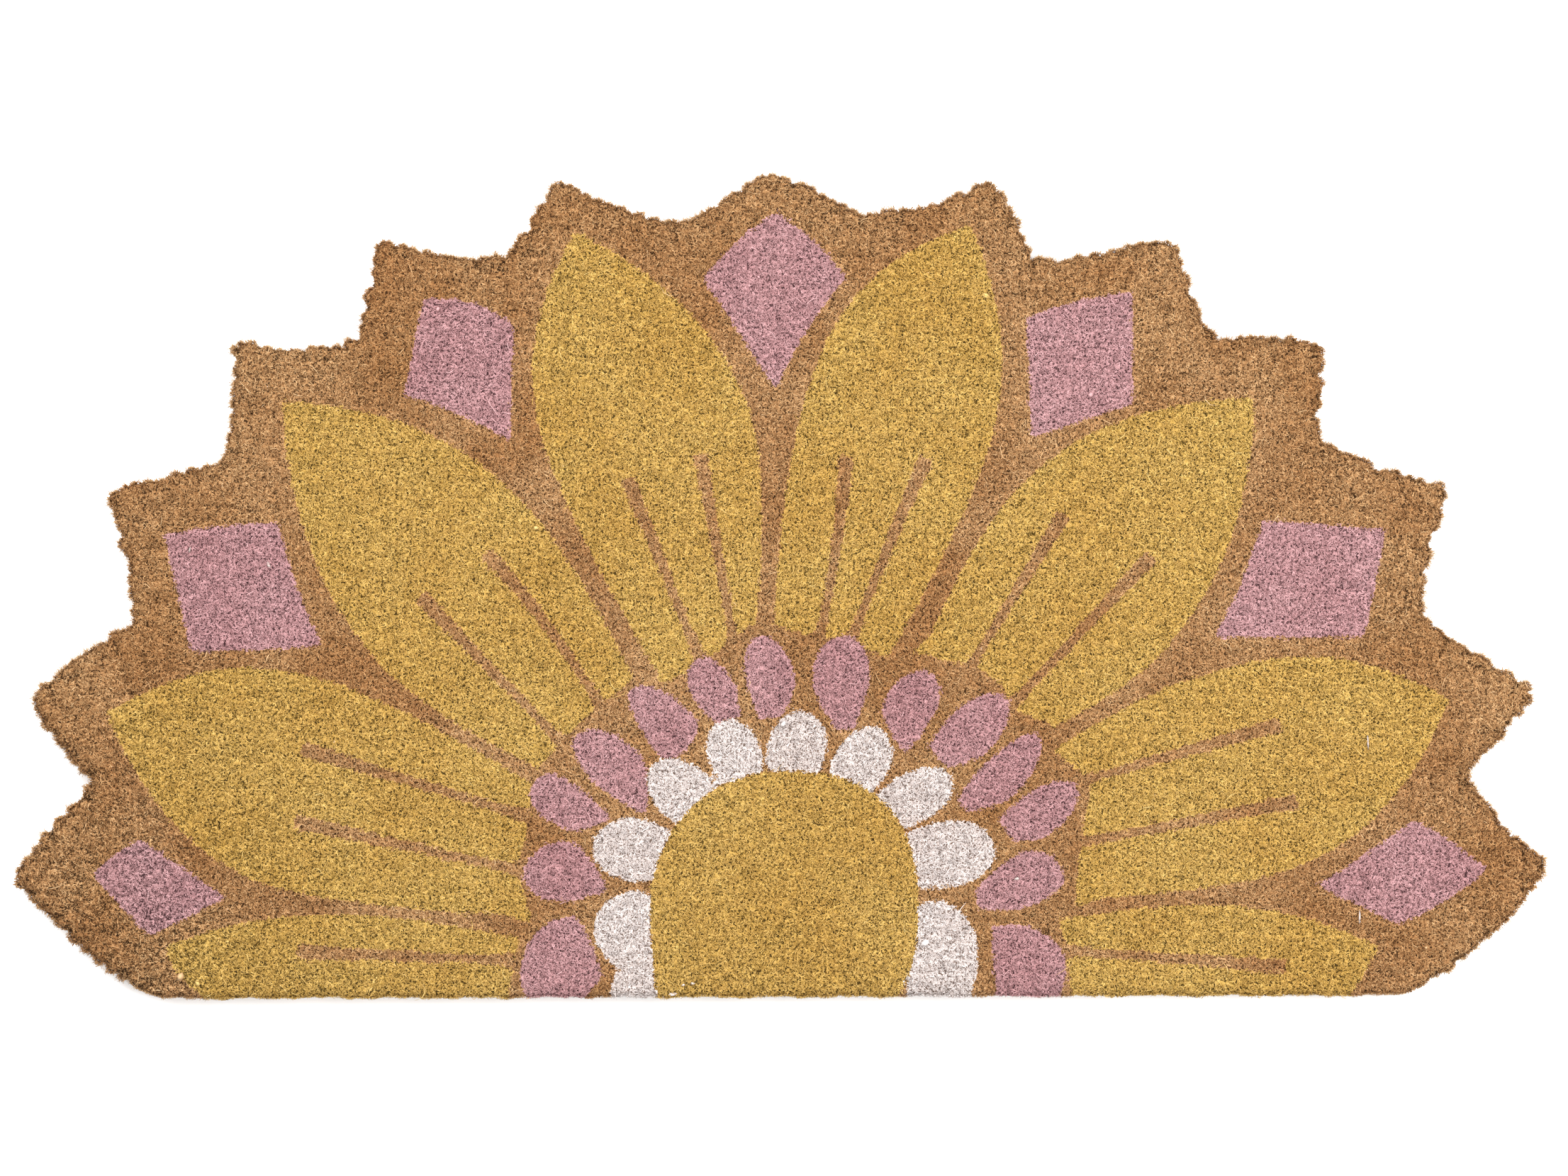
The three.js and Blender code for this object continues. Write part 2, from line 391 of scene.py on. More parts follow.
def in_petal(places, tip, base, foot, left, right):
    share, across = along_and_across(places, base, tip)
    left, right = (side_width(share, *side) for side in (left, right))
    beyond_base = share * math.dist(base, tip) > np.interp(across, *zip(*foot))
    return beyond_base & (share < 1) & (across < left) & (across > -right)


def in_lobe(places, outer, inner, left, right):
    share, across = along_and_across(places, inner, outer)
    left, right = (side_width(share, *side, LOBE_FULL, LOBE_ROUND) for side in (left, right))
    return (share > 0) & (share < 1) & (across < left) & (across > -right)


def in_vein(places, outer, inner, bow):
    share, across = along_and_across(places, inner, outer)
    flare = limited(1 - share / VEIN_FLARE) ** 2
    width = VEIN_WIDTH["narrow"] + (VEIN_WIDTH["outer"] - VEIN_WIDTH["narrow"]) * share ** 2
    width += (VEIN_WIDTH["inner"] - VEIN_WIDTH["narrow"]) * flare
    off_line = np.abs(across - 4 * bow * share * (1 - share))
    return (share > 0) & (share < 1) & (off_line < width / 2)


def in_diamond(places, corners, bows):
    inside = np.full(len(places), True)
    for i, bow in enumerate(bows):
        share, across = along_and_across(places, corners[i], corners[(i + 1) % 4])
        inside &= across > -4 * bow * limited(share * (1 - share))
    return inside


def in_disc(places):
    inside = np.full(len(places), False)
    for half, side in ((DISC_LEFT, places[:, 0] <= 0), (DISC_RIGHT, places[:, 0] > 0)):
        depth = np.where(places[:, 1] > 0, DISC_BACK, half["front"])
        reach = np.abs(places[:, 0] / half["half_width"]) ** half["squareness"]
        reach += np.abs(places[:, 1] / depth) ** half["squareness"]
        inside |= side & (reach < 1)
    return inside


def print_at(places):
    """The colour printed at each place; a later screen prints over an earlier one."""
    from_hub = (places - HUB) / MM
    colour = np.full(len(places), NATURAL)
    screens = [
        (DIAMONDS, in_diamond, PINK), (PETALS, in_petal, MUSTARD), (VEINS, in_vein, NATURAL),
        (PINK_LOBES, in_lobe, PINK), (WHITE_LOBES, in_lobe, WHITE),
    ]
    for rows, inside, finish in screens:
        for row in rows:
            colour[inside(from_hub, *row)] = finish
    colour[in_disc(from_hub)] = MUSTARD
    return colour


# Materials

def linear(hex_colour):
    """An sRGB hex colour as the linear colour a shader takes."""
    value = [int(hex_colour[i:i + 2], 16) / 255 for i in (1, 3, 5)]
    return [c / 12.92 if c <= 0.04045 else ((c + 0.055) / 1.055) ** 2.4 for c in value] + [1]


def add_node(tree, kind, inputs, **settings):
    """A node with its settings; an input takes a value, or a socket or node to link into it."""
    node = tree.nodes.new("ShaderNode" + kind)
    for name, value in settings.items():
        setattr(node, name, value)
    for socket, source in inputs.items():
        if isinstance(source, bpy.types.Node):
            source = source.outputs[0]
        if isinstance(source, bpy.types.NodeSocket):
            tree.links.new(source, node.inputs[socket])
        else:
            node.inputs[socket].default_value = source
    return node


def new_material(name):
    material = bpy.data.materials.new(name)
    material.use_nodes = True
    tree = material.node_tree
    shader = tree.nodes["Principled BSDF"]
    return material, tree, shader


PATCH_SIZE = 46 * MM  # soft patches where the fibre's own tint changes a little
# Painted shade of the pits: a noise darkens the colour of fibres near the pile's top layer where it is open
PIT_SPACING = 1.4 * MM
PIT_LAYER = SURFACE - 1.2 * MM  # height that the pits lie around
PIT_FADE = (1.2 * MM, 2.4 * MM)  # distances from that height over which they give out
PIT_LOW = 0.37  # value of the noise where the pile is open to its dark depth
PIT_HIGH = 0.43  # and where it is closed again

# What each finish is like: its colour from the deepest fibre to the brightest tip, whose dark end
# carries the painted shade of the pits and the gaps, the tint of its patches, its roughness, and
# how bright its loose fibres stay under the painted shade of the pits
FINISHES = {
    # Retted coconut husk fibre, machine-clipped: dry, brown to straw, darkest where painted shade falls
    NATURAL: {
        "name": "clipped_coconut_coir", "slot": "coir_natural",
        "patch": "#e9dcce", "roughness": 0.62, "open": 0.3,
        "stops": [
            (0.0, "#35220f"), (0.25, "#926942"), (0.6, "#b28a5f"), (0.85, "#c5a074"), (1.0, "#d6b78e"),
        ],
    },
    # Mustard pigment screened on to the fibre tips, matt, over olive-brown depths darkened by painted shade
    MUSTARD: {
        "name": "mustard_pigment_print", "slot": "print_mustard",
        "patch": "#f8f1e6", "roughness": 0.72, "open": 0.1,
        "stops": [
            (0.0, "#3a2c0f"), (0.25, "#a4833f"), (0.6, "#c4a05a"), (0.88, "#d1b06a"), (1.0, "#d8be7e"),
        ],
    },
    # Dusty pink pigment over coir, chalky, over plum-brown depths darkened by painted shade
    PINK: {
        "name": "pink_pigment_print", "slot": "print_pink",
        "patch": "#f4ecec", "roughness": 0.75, "open": 0.1,
        "stops": [
            (0.0, "#40282b"), (0.25, "#9e7677"), (0.6, "#bb9091"), (0.88, "#c89fa0"), (1.0, "#d3afaf"),
        ],
    },
    # White pigment laid thick over coir, chalky, specked where the brown fibre stays bare and where painted
    # shade darkens the pits
    WHITE: {
        "name": "white_pigment_print", "slot": "print_white",
        "patch": "#f8f4f2", "roughness": 0.8, "open": 0.1,
        "stops": [
            (0.0, "#6a5950"), (0.25, "#bdb0aa"), (0.55, "#d4cac6"), (1.0, "#e5dedb"),
        ],
    },
}


def finish_colour(tree, place, shade, finish):
    """A finish's colour for each shade, tinted in soft patches."""
    stops = FINISHES[finish]["stops"]
    ramp = add_node(tree, "ValToRGB", {"Fac": shade})
    elements = ramp.color_ramp.elements
    while len(elements) < len(stops):
        elements.new(0.5)
    for element, (at, colour) in zip(elements, stops):
        element.position = at
        element.color = linear(colour)
    patches = add_node(
        tree, "TexNoise", {"Vector": place, "Scale": 1 / PATCH_SIZE, "Detail": 2.0, "Roughness": 0.55},
    )
    spread = add_node(
        tree, "MapRange", {"Value": patches.outputs["Fac"], "From Min": 0.35, "From Max": 0.68},
    )
    tint = linear(FINISHES[finish]["patch"])
    mix = add_node(
        tree, "Mix", {0: spread.outputs["Result"], 6: ramp.outputs["Color"], 7: tint},
        data_type="RGBA", blend_type="MULTIPLY",
    )
    return mix.outputs[2]


def painted_pit_shade(tree, place, open_value):
    """Painted pit shade: 1 where the pile is closed, and above and below its top layer; lower in its pits.
    """
    noise = add_node(
        tree, "TexNoise",
        {"Vector": place, "Scale": 1 / PIT_SPACING, "Detail": 2.0, "Roughness": 0.6}, noise_dimensions="2D",
    )
    closed = add_node(
        tree, "MapRange", {"Value": noise.outputs["Fac"], "From Min": PIT_LOW, "From Max": PIT_HIGH},
    )
    height = add_node(tree, "SeparateXYZ", {"Vector": place})
    off_layer = add_node(tree, "Math", {0: height.outputs["Z"], 1: PIT_LAYER}, operation="SUBTRACT")
    distance = add_node(tree, "Math", {0: off_layer}, operation="ABSOLUTE")
    clear = add_node(
        tree, "MapRange", {"Value": distance, "From Min": PIT_FADE[0], "From Max": PIT_FADE[1]},
    )
    higher = add_node(tree, "Math", {0: closed, 1: clear}, operation="MAXIMUM")
    kept = add_node(tree, "MapRange", {"Value": higher, "To Min": open_value})
    return kept.outputs["Result"]


def fibre_material(finish):
    # Loose and clipped fibres of one finish, each its own shade, darker towards its root (painted shade
    # of the depth, and bare coir under a print), and darkened by the painted shade of the pits
    material, tree, shader = new_material(FINISHES[finish]["name"])
    shade = add_node(tree, "Attribute", {}, attribute_name="shade").outputs["Fac"]
    place = add_node(tree, "TexCoord", {}).outputs["Object"]
    closed = painted_pit_shade(tree, place, FINISHES[finish]["open"])
    pit_shaded = add_node(tree, "Math", {0: shade, 1: closed}, operation="MULTIPLY")
    colour = finish_colour(tree, place, pit_shaded.outputs[0], finish)
    tree.links.new(colour, shader.inputs["Base Color"])
    shader.inputs["Roughness"].default_value = FINISHES[finish]["roughness"]
    shader.inputs["Specular IOR Level"].default_value = 0.12
    return material


# The crowded fibres between the loose ones: size of the cell, width and length of a fibre
CROWD = [
    (1.7 * MM, 0.5 * MM, 2.4 * MM),
    (1.45 * MM, 0.42 * MM, 2.0 * MM),
    (1.8 * MM, 0.3 * MM, 2.8 * MM),
]
FIBRE_BEND = 0.4 / MM  # greatest curve of a crowded fibre


def strokes(tree, place, cell, width, length, shift):
    """Short bent fibres, one in each cell: how much of one shows, and a random value of its own."""
    moved = add_node(tree, "VectorMath", {0: place, 1: (shift, 2.3 * shift, 0)}, operation="ADD")
    cells = add_node(tree, "TexVoronoi", {"Vector": moved, "Scale": 1 / cell}, voronoi_dimensions="2D")
    away = add_node(tree, "VectorMath", {0: moved, 1: cells.outputs["Position"]}, operation="SUBTRACT")
    chance = add_node(tree, "SeparateColor", {"Color": cells.outputs["Color"]})
    angle = add_node(tree, "Math", {0: chance.outputs["Red"], 1: 2 * math.pi}, operation="MULTIPLY")
    turned = add_node(tree, "VectorRotate", {"Vector": away, "Angle": angle}, rotation_type="Z_AXIS")
    part = add_node(tree, "SeparateXYZ", {"Vector": turned})
    bend = add_node(
        tree, "MapRange", {"Value": chance.outputs["Blue"], "To Min": -FIBRE_BEND, "To Max": FIBRE_BEND},
    )
    squared = add_node(tree, "Math", {0: part.outputs["X"], 1: 2.0}, operation="POWER")
    bow = add_node(tree, "Math", {0: bend, 1: squared}, operation="MULTIPLY")
    off_line = add_node(tree, "Math", {0: part.outputs["Y"], 1: bow}, operation="SUBTRACT")
    aside = add_node(tree, "Math", {0: off_line}, operation="ABSOLUTE")
    along = add_node(tree, "Math", {0: part.outputs["X"]}, operation="ABSOLUTE")
    off_side = add_node(tree, "Math", {0: aside, 1: width / 2}, operation="DIVIDE")
    off_end = add_node(tree, "Math", {0: along, 1: length / 2}, operation="DIVIDE")
    off = add_node(tree, "Math", {0: off_side, 1: off_end}, operation="MAXIMUM")
    shown = add_node(tree, "MapRange", {"Value": off, "From Min": 1.2, "From Max": 0.7})
    return shown.outputs["Result"], chance.outputs["Green"]


def crowd_shade(tree, place, grain):
    """Crowded fibres' shade over painted gap shade, with painted pit shade under the last, and a random
    value.
    """
    # The gaps between the crowded fibres are painted dark: painted shade of the pile's depth
    base = add_node(
        tree, "MapRange", {"Value": grain, "From Min": 0.4, "From Max": 0.64, "To Min": 0.0, "To Max": 0.4},
    )
    closed = painted_pit_shade(tree, place, 0.0)
    shade = base.outputs["Result"]
    for i, fibre in enumerate(CROWD):
        if i == len(CROWD) - 1:
            pit_shaded = add_node(tree, "Math", {0: shade, 1: closed}, operation="MULTIPLY")
            shade = pit_shaded.outputs[0]
        shown, chance = strokes(tree, place, *fibre, (i + 1) * 31 * MM)
        own = add_node(tree, "MapRange", {"Value": chance, "To Min": 0.33, "To Max": 0.88})
        layer = add_node(tree, "Mix", {0: shown, 2: shade, 3: own}, data_type="FLOAT")
        shade = layer.outputs[0]
    return shade, chance


def crowd_material():
    # Crowded fibre under the loose ones: coir, pigmented where the print is, with painted shade in its gaps
    # and pits
    material, tree, shader = new_material("crowded_coir")
    place = add_node(tree, "TexCoord", {}).outputs["Object"]
    noise = add_node(
        tree, "TexNoise", {"Vector": place, "Scale": 1 / (1.3 * MM), "Detail": 2.0, "Roughness": 0.5},
    )
    grain = noise.outputs["Fac"]
    shade, chance = crowd_shade(tree, place, grain)
    # The print frays along its edges with the grain and with the single fibres
    fray_grain = add_node(tree, "MapRange", {"Value": grain, "To Min": -0.75, "To Max": 0.75})
    fray_fibre = add_node(tree, "MapRange", {"Value": chance, "To Min": -0.1, "To Max": 0.1})
    fray = add_node(tree, "Math", {0: fray_grain, 1: fray_fibre}, operation="ADD")
    cover = add_node(tree, "Attribute", {}, attribute_name="cover")
    covers = add_node(tree, "SeparateColor", {"Color": cover.outputs["Color"]})
    colour = finish_colour(tree, place, shade, NATURAL)
    for finish, channel in ((MUSTARD, "Red"), (PINK, "Green"), (WHITE, "Blue")):
        frayed = add_node(tree, "Math", {0: covers.outputs[channel], 1: fray}, operation="ADD")
        reach = add_node(tree, "MapRange", {"Value": frayed, "From Min": 0.46, "From Max": 0.54})
        printed = finish_colour(tree, place, shade, finish)
        mix = add_node(tree, "Mix", {0: reach, 6: colour, 7: printed}, data_type="RGBA")
        colour = mix.outputs[2]
    bump = add_node(tree, "Bump", {"Height": shade, "Strength": 1.0, "Distance": 0.5 * MM})
    tree.links.new(colour, shader.inputs["Base Color"])
    tree.links.new(bump.outputs["Normal"], shader.inputs["Normal"])
    shader.inputs["Roughness"].default_value = 0.85
    shader.inputs["Specular IOR Level"].default_value = 0.12
    return material


def vinyl_material():
    # Calendered PVC backing: dark brown, slightly glossy, with a faint pebble from the roller
    material, tree, shader = new_material("calendered_vinyl_backing")
    place = add_node(tree, "TexCoord", {})
    pebble = add_node(
        tree, "TexNoise", {"Vector": place.outputs["Object"], "Scale": 1 / (1.6 * MM), "Detail": 2.0},
    )
    bump = add_node(tree, "Bump", {"Height": pebble.outputs["Fac"], "Strength": 0.25, "Distance": 0.3 * MM})
    colour = add_node(
        tree, "Mix",
        {0: pebble.outputs["Fac"], 6: linear("#40301f"), 7: linear("#604630")}, data_type="RGBA",
    )
    tree.links.new(colour.outputs[2], shader.inputs["Base Color"])
    tree.links.new(bump.outputs["Normal"], shader.inputs["Normal"])
    shader.inputs["Roughness"].default_value = 0.5
    return material


# The crowded fibres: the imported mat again, finer, sunk under the tips and lumpy

def new_object(name, data):
    item = bpy.data.objects.new(name, data)
    bpy.context.collection.objects.link(item)
    return item


def finer_copy(node, name, cell):
    """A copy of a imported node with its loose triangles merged, rebuilt from even cells."""
    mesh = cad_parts[node].data.copy()
    work = bmesh.new()
    work.from_mesh(mesh)
    bmesh.ops.remove_doubles(work, verts=work.verts, dist=0.01 * MM)
    work.to_mesh(mesh)
    work.free()
    draft = new_object(name + "_draft", mesh)
    remesh = draft.modifiers.new("cells", "REMESH")
    remesh.mode = "VOXEL"
    remesh.voxel_size = cell
    remesh.use_smooth_shade = True
    graph = bpy.context.evaluated_depsgraph_get()
    finer = bpy.data.meshes.new_from_object(draft.evaluated_get(graph))
    bpy.data.objects.remove(draft)
    finer.name = name
    return finer


def one_flat_underside(mesh):
    """The many even cells of the underside become a single flat face."""
    work = bmesh.new()
    work.from_mesh(mesh)
    for vert in work.verts:
        if vert.co.z < UNDERSIDE_SLACK:
            vert.co.z = 0
    work.normal_update()
    under = [f for f in work.faces if f.normal.z < -0.99 and f.calc_center_median().z < 0.1 * MM]
    for face in bmesh.ops.dissolve_faces(work, faces=under)["region"]:
        face.smooth = False
    work.to_mesh(mesh)
    work.free()


def lumpy(places):
    """The finer copy's places: the top sunk and lumpy, the walls drawn in unevenly."""
    flat = places[:, :2].copy()
    height = places[:, 2]
    share = limited((height - BACKING_TOP) / (MAT_TOP - BACKING_TOP))
    near_edge = limited(1 - inside_path(flat) / WALL_REACH)
    sink, change = WALL_SINK
    bulge = bulge_at(flat) - (sink + change * LUMPS(flat)) * MM
    moved = bulge * near_edge * limited(share * 6)
    places[:, :2] = flat + unit(flat - HUB) * moved[:, None]
    places[:, 2] = height - share * (MAT_TOP - SURFACE) + share ** 3 * lumps_at(flat)
    return places


def print_cover(places, heights):
    """How much of the ground round each place is mustard, pink and white, down to the ink's depth."""
    cover = np.zeros((len(places), 4))
    for _ in range(COVER_SAMPLES):
        colour = print_at(places + rng.uniform(-0.5, 0.5, places.shape) * GROUND_CELL)
        for channel, finish in enumerate((MUSTARD, PINK, WHITE)):
            cover[:, channel] += (colour == finish) / COVER_SAMPLES
    low, high = INK_GIVES_OUT
    return cover * limited((heights - low) / (high - low))[:, None]


def crowd_piece():
    mesh = finer_copy(MAT, "crowded_pile", GROUND_CELL)
    one_flat_underside(mesh)
    places = vectors_of(mesh.vertices, "co")
    cover = print_cover(places[:, :2], places[:, 2])
    places = lumpy(places)
    mesh.vertices.foreach_set("co", places.ravel())
    mesh.attributes.new("cover", "FLOAT_COLOR", "POINT").data.foreach_set("color", cover.ravel())
    mesh.materials.clear()
    mesh.materials.append(crowd_material())
    mesh.materials.append(vinyl_material())
    backing = vectors_of(mesh.polygons, "center")[:, 2] < BACKING_TOP
    mesh.polygons.foreach_set("material_index", backing.astype(np.int32))
    mesh.update()
    return placed("crowded_pile", mesh)


# Fibres

def clipped(roots, tips, widths, shades):
    """Closed four-sided slivers: an edge at the root, and one turned from it at the tip."""
    axis = unit(tips - roots)
    up = np.array([0, 0, 1]) + rng.normal(0, 0.35, axis.shape)
    across = unit(np.cross(axis, up))
    over = np.cross(axis, across)
    flat = across * widths[:, None] / 2
    turned = (across * math.cos(FIBRE_TWIST) + over * math.sin(FIBRE_TWIST)) * widths[:, None] / 2
    return {
        "corners": np.stack([roots - flat, roots + flat, tips - turned, tips + turned], axis=1),
        "faces": np.array([[0, 1, 2], [0, 3, 1], [0, 2, 3], [1, 3, 2]]),
        "map": np.array([[0, 0], [1, 0], [0, 1], [1, 1]], float),
        "shades": np.stack([ROOT_SHADE * shades, ROOT_SHADE * shades, shades, shades], axis=1),
    }


def bent(roots, tips, bows, widths, shades):
    """Closed bent fibres: a point at each end and three sides at the middle."""
    axis = unit(tips - roots)
    across = unit(np.cross(axis, [0, 0, 1]))
    over = np.cross(across, axis)
    middle = (roots + tips) / 2 + bows
    ring = []
    for k in range(3):
        way = 2 * math.pi * k / 3 + math.pi / 2
        ring.append(middle + (across * math.cos(way) + over * math.sin(way)) * widths[:, None] / 2)
    return {
        "corners": np.stack([roots, *ring, tips], axis=1),
        "faces": np.array([[0, 1, 2], [0, 2, 3], [0, 3, 1], [4, 2, 1], [4, 3, 2], [4, 1, 3]]),
        "map": np.array([[0.5, 0], [0, 0.5], [0.5, 0.6], [1, 0.5], [0.5, 1]]),
        "shades": np.stack([ROOT_SHADE * shades, shades, shades, shades, 0.9 * shades], axis=1),
    }


def level_ways(turns):
    """Level ways at the given turns, and the ways to their left."""
    level = np.zeros(len(turns))
    ahead = np.stack([np.cos(turns), np.sin(turns), level], axis=1)
    return ahead, np.stack([-np.sin(turns), np.cos(turns), level], axis=1)


def hairs(middles, lengths, widths, shades):
    """Long stray fibres: thin three-sided tubes that arch over the pile."""
    count = len(middles)
    ahead, aside = level_ways(rng.uniform(0, 2 * np.pi, count))
    bow = rng.uniform(-0.35, 0.35, count) * lengths
    rise = rng.uniform(0.8, 2.0, count) * MM
    corners = []
    for k in range(HAIR_SECTIONS):
        share = k / (HAIR_SECTIONS - 1)
        arch = 4 * share * (1 - share)
        centre = middles + ahead * ((share - 0.5) * lengths)[:, None] + aside * (arch * bow)[:, None]
        centre[:, 2] += (arch - 1) * rise
        thin = (0.35 + 0.65 * arch ** 0.5) * widths / 2
        for j in range(HAIR_SIDES):
            way = 2 * math.pi * j / HAIR_SIDES + 0.5
            offset = aside * math.cos(way) + np.array([0, 0, 1]) * math.sin(way)
            corners.append(centre + offset * thin[:, None])
    faces = [[2, 1, 0]]
    for k in range(HAIR_SECTIONS - 1):
        for j in range(HAIR_SIDES):
            a = k * HAIR_SIDES + j
            b = k * HAIR_SIDES + (j + 1) % HAIR_SIDES
            faces += [[a, b, b + HAIR_SIDES], [a, b + HAIR_SIDES, a + HAIR_SIDES]]
    last = (HAIR_SECTIONS - 1) * HAIR_SIDES
    faces.append([last, last + 1, last + 2])
    rings = [(k, j) for k in range(HAIR_SECTIONS) for j in range(HAIR_SIDES)]
    return {
        "corners": np.stack(corners, axis=1),
        "faces": np.array(faces),
        "map": np.array([(j / 2, (k + 0.2 * j) / HAIR_SECTIONS) for k, j in rings]),
        "shades": np.repeat(shades[:, None], len(rings), axis=1),
    }


def grains(middles, lengths, widths, turns, shades):
    """Bits of pith: flat six-sided grains that come to a low point above and below."""
    ahead, aside = level_ways(turns)
    height = np.array([0, 0, 1]) * 0.25 * np.minimum(widths, 2 * MM)[:, None]
    ring = []
    for k in range(6):
        way = 2 * math.pi * k / 6
        uneven = rng.uniform(0.8, 1.1, len(turns)) / 2
        reach = ahead * (math.cos(way) * lengths * uneven)[:, None]
        ring.append(middles + reach + aside * (math.sin(way) * widths * uneven)[:, None])
    faces = [[k, (k + 1) % 6, 6] for k in range(6)] + [[(k + 1) % 6, k, 7] for k in range(6)]
    ways = [k * math.pi / 3 for k in range(6)]
    around = [(0.5 + 0.5 * math.cos(way), 0.5 + 0.5 * math.sin(way)) for way in ways]
    return {
        "corners": np.stack([*ring, middles + height, middles - height], axis=1),
        "faces": np.array(faces),
        "map": np.array([*around, (0.45, 0.5), (0.55, 0.5)]),
        "shades": np.repeat(shades[:, None], 8, axis=1),
    }


def pith_of(finish, where):
    """The bits of pith of one finish: those of the table and small ones anywhere."""
    rows = [row for row in STRAYS if row[3] == finish]
    at, sizes, turns, _, shades = zip(*rows)
    at, sizes = HUB + np.array(at) * MM, np.array(sizes) * MM
    small = rng.uniform(KNIFE_PATH.min(axis=0), KNIFE_PATH.max(axis=0), (GRAINS, 2))
    small = small[(inside_rim(small) > 2 * MM) & (print_at(small) == finish)]
    length = rng.uniform(*GRAIN_SIZE, len(small))
    places = np.concatenate([at, small])
    facts = [
        at_height(places, SURFACE + lumps_at(places) + 0.55 * MM),
        np.concatenate([sizes[:, 0], length]),
        np.concatenate([sizes[:, 1], length * rng.uniform(0.4, 0.9, len(small))]),
        np.concatenate([np.radians(turns), rng.uniform(0, 2 * np.pi, len(small))]),
        np.concatenate([shades, rng.uniform(0.75, 0.95, len(small))]),
    ]
    mine = where(places)
    return grains(*(fact[mine] for fact in facts))


def mesh_of(name, places, faces):
    mesh = bpy.data.meshes.new(name)
    mesh.vertices.add(len(places))
    mesh.vertices.foreach_set("co", places.ravel())
    mesh.loops.add(faces.size)
    mesh.loops.foreach_set("vertex_index", faces.ravel().astype(np.int32))
    mesh.polygons.add(len(faces))
    mesh.polygons.foreach_set("loop_start", np.arange(0, faces.size, 3, dtype=np.int32))
    mesh.update(calc_edges=True)
    return mesh


def strand_piece(name, sets, material):
    """Joins sets of strands into one mesh. On its map each strand has a cell of its own."""
    total = sum(len(s["corners"]) for s in sets)
    side = math.ceil(math.sqrt(total))
    places, faces, shades, maps = [], [], [], []
    first_corner = 0
    first_strand = 0
    for strands in sets:
        count, per_strand = strands["corners"].shape[:2]
        cell = first_strand + np.arange(count)
        cells = np.stack([cell % side, cell // side], axis=1)
        own_map = (cells[:, None, :] + MAP_MARGIN + MAP_SHARE * strands["map"][None]) / side
        own_faces = strands["faces"][None] + (np.arange(count) * per_strand)[:, None, None]
        places.append(strands["corners"].reshape(-1, 3))
        faces.append(own_faces.reshape(-1, 3) + first_corner)
        shades.append(strands["shades"].ravel())
        maps.append(own_map.reshape(-1, 2))
        first_corner += count * per_strand
        first_strand += count
    places, faces = np.concatenate(places), np.concatenate(faces)
    mesh = mesh_of(name, places, faces)
    mesh.attributes.new("shade", "FLOAT", "POINT").data.foreach_set("value", np.concatenate(shades))
    bake_map = mesh.uv_layers.new(name="OFBake")
    bake_map.data.foreach_set("uv", np.concatenate(maps)[faces.ravel()].ravel())
    mesh.materials.append(material)
    return placed(name, mesh)


def placed(name, mesh):
    """The finished piece, in the mat's own frame, riding on its body."""
    piece = new_object(name, mesh)
    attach(piece, "root")
    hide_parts(MAT)
    return piece


def even_spread(pitch):
    """Jittered places over the whole mat, on average a pitch apart."""
    low, high = KNIFE_PATH.min(axis=0) - 2 * MM, KNIFE_PATH.max(axis=0) + 2 * MM
    columns, rows = np.ceil((high - low) / pitch).astype(int)
    x, y = np.meshgrid(np.arange(columns), np.arange(rows), indexing="ij")
    places = np.stack([x.ravel(), y.ravel()], axis=1) + rng.uniform(-0.5, 1.5, (columns * rows, 2))
    places = low + places * pitch
    return places[inside_rim(places) > PILE_EDGE]


def brushy(places):
    """From 0 to 1 towards the unprinted rim, where the tufts are loose and stand apart."""
    return limited(1 - inside_rim(places) / BRUSHY_REACH) * (print_at(places) == NATURAL)


def lying(places, lengths, wander):
    """The way each fibre runs over its middle: out of its tuft, swirled and strayed."""
    away = from_tuft(places)
    wander = wander * (1 - 0.5 * brushy(places))
    way = np.arctan2(away[:, 1], away[:, 0]) + SWIRL(places) * 1.2
    way = way + rng.normal(0, 1, len(places)) * wander
    return np.stack([np.cos(way), np.sin(way)], axis=1) * lengths[:, None]


def shade_of(places):
    """Each fibre's shade: own tone, painted light on tufts and rim, painted shade in creases and a corner,
    darker rimward
    """
    own = rng.beta(2.4, 1.8, len(places))
    # Painted light on the high tufts and painted shade in the low creases
    rise = (0.11 + 0.07 * brushy(places)) * lumps_at(places) / MM
    inside = inside_rim(places)
    # Painted light near the rim, against the shade of its sides
    rim_painted_light = 0.25 * limited(1 - inside / RIM_PAINTED_LIGHT_REACH)
    crease = limited(np.linalg.norm(from_tuft(places), axis=1) / SHADE_CREASE) ** 2
    # Painted shade in the creases between the rim's tufts
    rim_crease_shade = 0.35 * limited(1 - inside / RIM_CREASE_SHADE_REACH) * crease
    rim_crease_shade *= places[:, 1] > FRONT_ROW
    # Darker towards the rim, more on the bare coir than on the print
    rimward_and_corner_darkening = np.sqrt(limited(1 - inside / RIMWARD_DARKENING_REACH))
    rimward_and_corner_darkening *= np.where(print_at(places) == NATURAL, 0.18, 0.08)
    # Painted shade where the light falls off towards one corner
    shade_corner_distance = np.linalg.norm(places - HUB - PAINTED_SHADE_CORNER["at"], axis=1) / PAINTED_SHADE_CORNER["reach"]
    rimward_and_corner_darkening += PAINTED_SHADE_CORNER["depth"] * limited(1 - shade_corner_distance)
    return limited(0.2 + 0.75 * own + rise + rim_painted_light - rim_crease_shade - rimward_and_corner_darkening)


def edge_drop(places):
    edge = limited(1 - inside_rim(places) / EDGE_DROP_REACH)
    return edge ** 2 * EDGE_DROP


def at_height(places, heights):
    return np.concatenate([places, heights[:, None]], axis=1)


def within(places, ways):
    """Ways shortened where they would leave the mat or run across a printed edge."""
    colour = print_at(places)
    crossing = (print_at(places + ways) != colour) | (print_at(places - ways) != colour)
    overhang = np.where(places[:, 1] > FRONT_ROW, 0.9, 0.2) * MM
    outside = np.minimum(inside_rim(places + ways), inside_rim(places - ways)) < -overhang
    ways[crossing | outside] *= 0.5
    return ways


